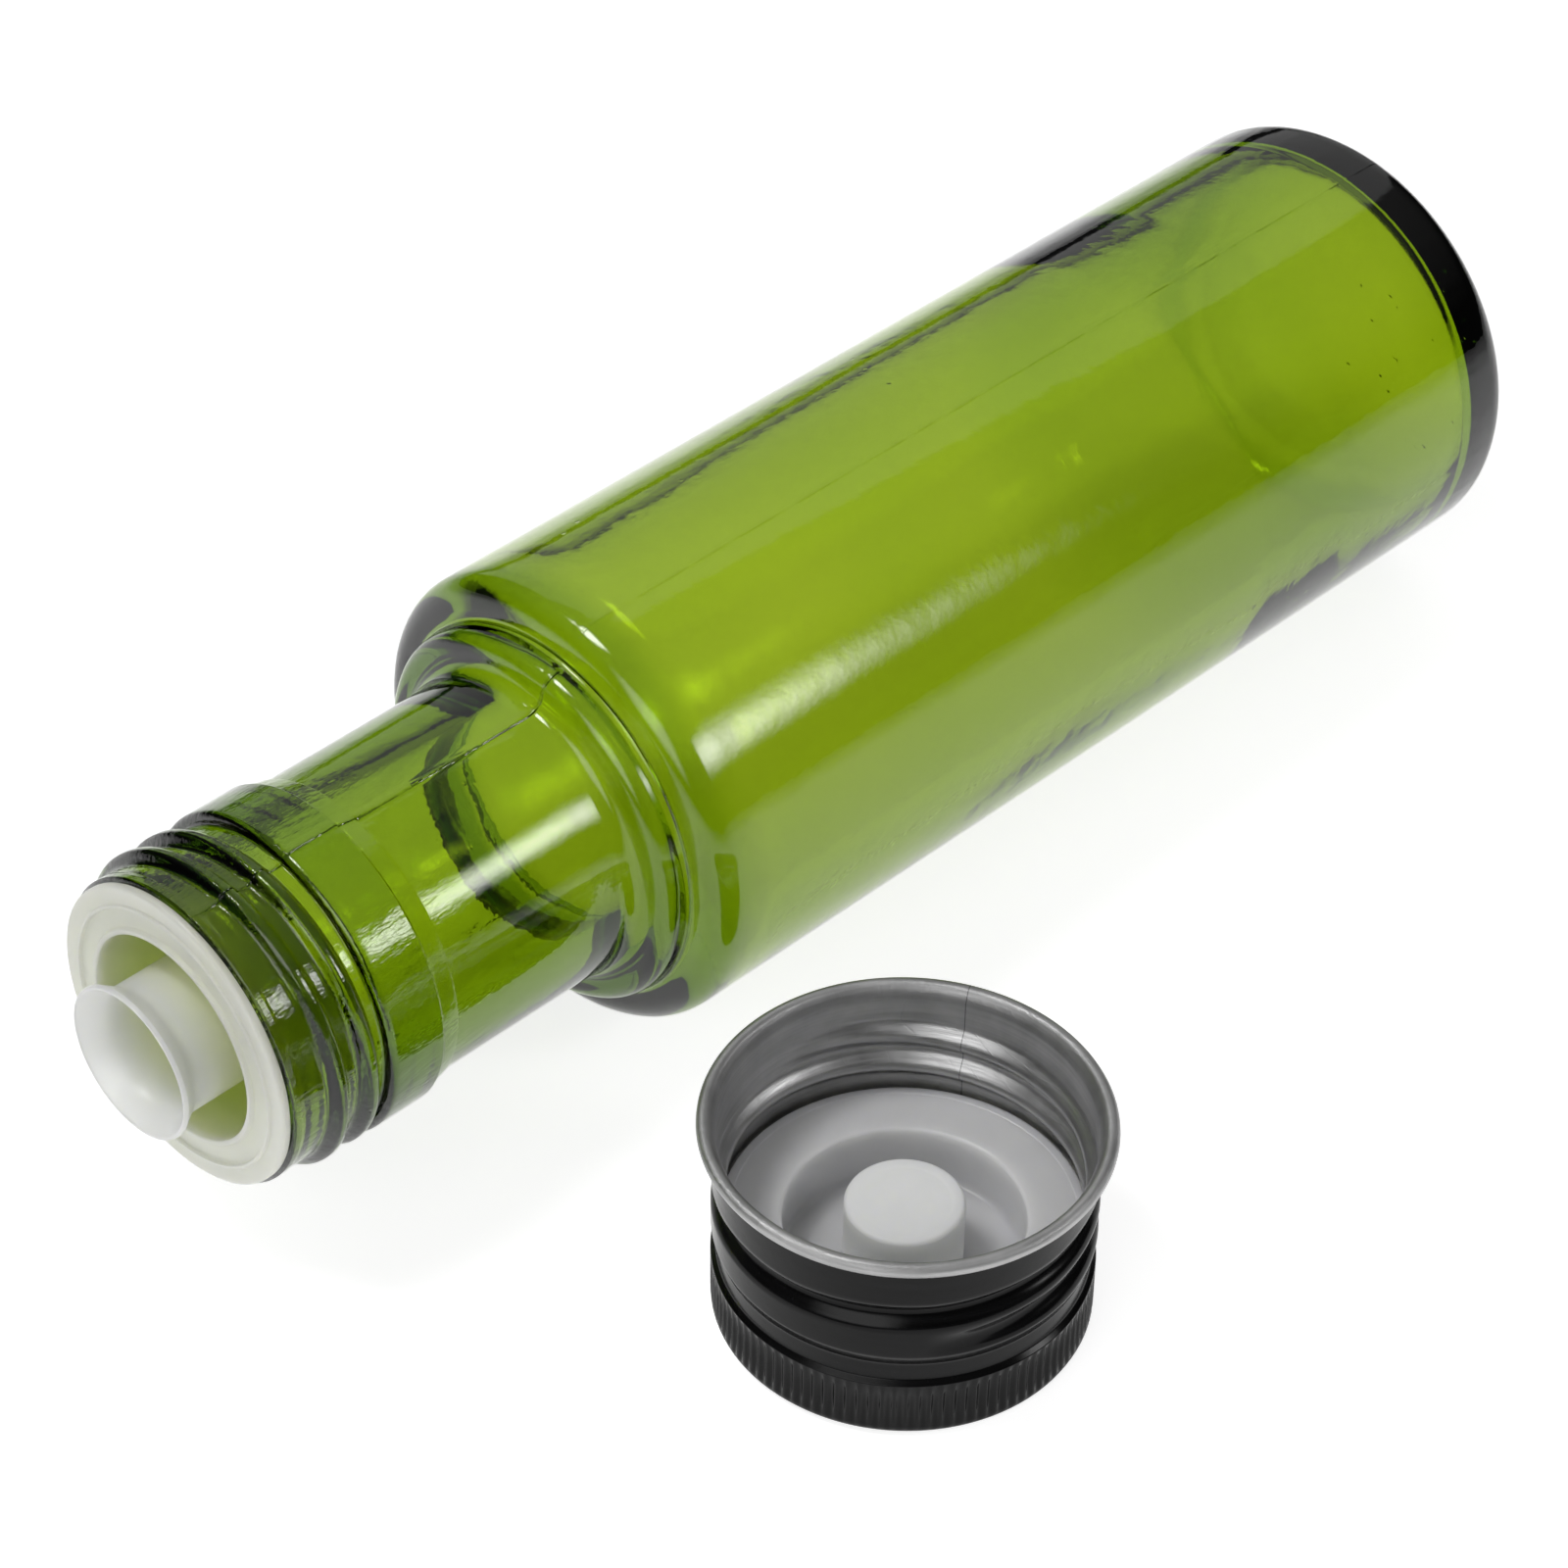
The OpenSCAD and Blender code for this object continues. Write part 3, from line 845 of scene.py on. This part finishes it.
# ---------------- studio
def floor():
    n = Nodes("pale_floor_painted_glow")
    cloud = n.noise(n.position(), 6, 2.0)
    shade = n.ramp(cloud, [(0.3, (0.58, 0.58, 0.58)), (0.7, (0.62, 0.62, 0.62))])
    away = n.add("ShaderNodeVectorMath", {0: n.position()}, operation="LENGTH").outputs["Value"]
    # The floor also glows, most strongly within about 0.2 m of the bottle: painted light that fills in the
    # shadows round it
    n.surface({
        "Base Color": shade,
        "Roughness": 0.7,
        "Specular IOR Level": 0.1,
        "Emission Color": (1, 1, 1, 1),
        "Emission Strength": n.range(away, 0.20, 0.42, 0.80, 0.18),
    })
    mesh = bpy.data.meshes.new("floor")
    size = 4.0
    corners = [(-size, -size, 0), (size, -size, 0), (size, size, 0), (-size, size, 0)]
    mesh.from_pydata(corners, [], [(0, 1, 2, 3)])
    piece = bpy.data.objects.new("floor", mesh)
    piece.data.materials.append(n.material)
    bpy.context.scene.collection.objects.link(piece)


def feather(data, edge):
    """Fades a light towards its edges, over this share of its half width."""
    data.use_nodes = True
    tree = data.node_tree
    emission = next(node for node in tree.nodes if node.type == "EMISSION")
    across = tree.nodes.new("ShaderNodeSeparateXYZ")
    tree.links.new(tree.nodes.new("ShaderNodeNewGeometry").outputs["Parametric"], across.inputs[0])
    fades = []
    for side in range(2):
        inward = tree.nodes.new("ShaderNodeMath")
        inward.operation = "PINGPONG"
        inward.inputs[1].default_value = 0.5
        tree.links.new(across.outputs[side], inward.inputs[0])
        fade = tree.nodes.new("ShaderNodeMapRange")
        fade.interpolation_type = "SMOOTHSTEP"
        fade.inputs["From Max"].default_value = edge / 2
        tree.links.new(inward.outputs[0], fade.inputs["Value"])
        fades.append(fade.outputs[0])
    both = tree.nodes.new("ShaderNodeMath")
    both.operation = "MULTIPLY"
    tree.links.new(fades[0], both.inputs[0])
    tree.links.new(fades[1], both.inputs[1])
    tree.links.new(both.outputs[0], emission.inputs["Strength"])


def softbox(name, towards, width, height, radiance, edge):
    """A soft rectangular light in a direction from the bottle, with its brightness as a camera sees it."""
    aim = Vector((0, 0, 0.02))
    place = aim + Vector(towards).normalized() * LIGHT_DISTANCE
    power = radiance * math.pi * width * height
    data = bpy.data.lights.new(name, "AREA")
    data.shape = "RECTANGLE"
    data.size, data.size_y = width, height
    data.energy = power
    feather(data, edge)
    lamp = bpy.data.objects.new(name, data)
    lamp.location = place
    lamp.rotation_euler = (aim - place).to_track_quat("-Z", "Y").to_euler()
    bpy.context.scene.collection.objects.link(lamp)


def studio_world():
    """Bright overhead and dim towards the horizon, as in a light tent with an open front."""
    world = bpy.data.worlds.new("studio")
    bpy.context.scene.world = world
    world.use_nodes = True
    tree = world.node_tree
    tree.nodes.clear()
    coords = tree.nodes.new("ShaderNodeTexCoord")
    split = tree.nodes.new("ShaderNodeSeparateXYZ")
    ramp = tree.nodes.new("ShaderNodeValToRGB")
    back = tree.nodes.new("ShaderNodeBackground")
    out = tree.nodes.new("ShaderNodeOutputWorld")
    tree.links.new(coords.outputs["Generated"], split.inputs[0])
    tree.links.new(split.outputs[2], ramp.inputs[0])
    tree.links.new(ramp.outputs[0], back.inputs[0])
    tree.links.new(back.outputs[0], out.inputs[0])
    stops = ramp.color_ramp.elements
    stops[0].position, stops[0].color = 0.25, (0.05, 0.05, 0.05, 1)
    stops[1].position, stops[1].color = 0.9, (0.55, 0.55, 0.55, 1)
    middle = stops.new(0.55)
    middle.color = (0.24, 0.24, 0.24, 1)
    back.inputs[1].default_value = 0.4


def camera():
    """The photograph's viewpoint: a long lens, looking down along the bottle from beyond its mouth."""
    data = bpy.data.cameras.new("camera")
    data.lens = 112.7
    data.sensor_width = 36
    data.clip_start = 0.01
    piece = bpy.data.objects.new("camera", data)
    heading = math.radians(44.49)
    pitch = math.radians(-40.11)
    roll = math.radians(-0.94)
    level = Vector((math.cos(heading), math.sin(heading), 0))
    forward = level * math.cos(pitch) + Vector((0, 0, math.sin(pitch)))
    right = Vector((math.sin(heading), -math.cos(heading), 0))
    down = forward.cross(right)
    across = right * math.cos(roll) + down * math.sin(roll)
    up = right * math.sin(roll) - down * math.cos(roll)
    turn = Matrix((across, up, -forward)).transposed().to_4x4()
    piece.matrix_world = Matrix.Translation(CAMERA_PLACE) @ turn
    bpy.context.scene.collection.objects.link(piece)
    bpy.context.scene.camera = piece


camera()
studio_world()
floor()
softbox("key", (0.45, -0.74, 0.50), 0.34, 0.32, 12, 1.0)
softbox("top", (-0.35, 0.27, 0.88), 0.32, 0.32, 18, 0.7)
softbox("back", (0.55, 0.60, 0.50), 1.0, 0.85, 0.45, 0.08)
softbox("front", (-0.80, -0.25, 0.45), 0.7, 0.6, 2.8, 0.6)
bpy.context.scene.view_settings.view_transform = "Standard"

glass_bottle()
pourer()
cap_pieces()
cap_liner()
cap_plug()
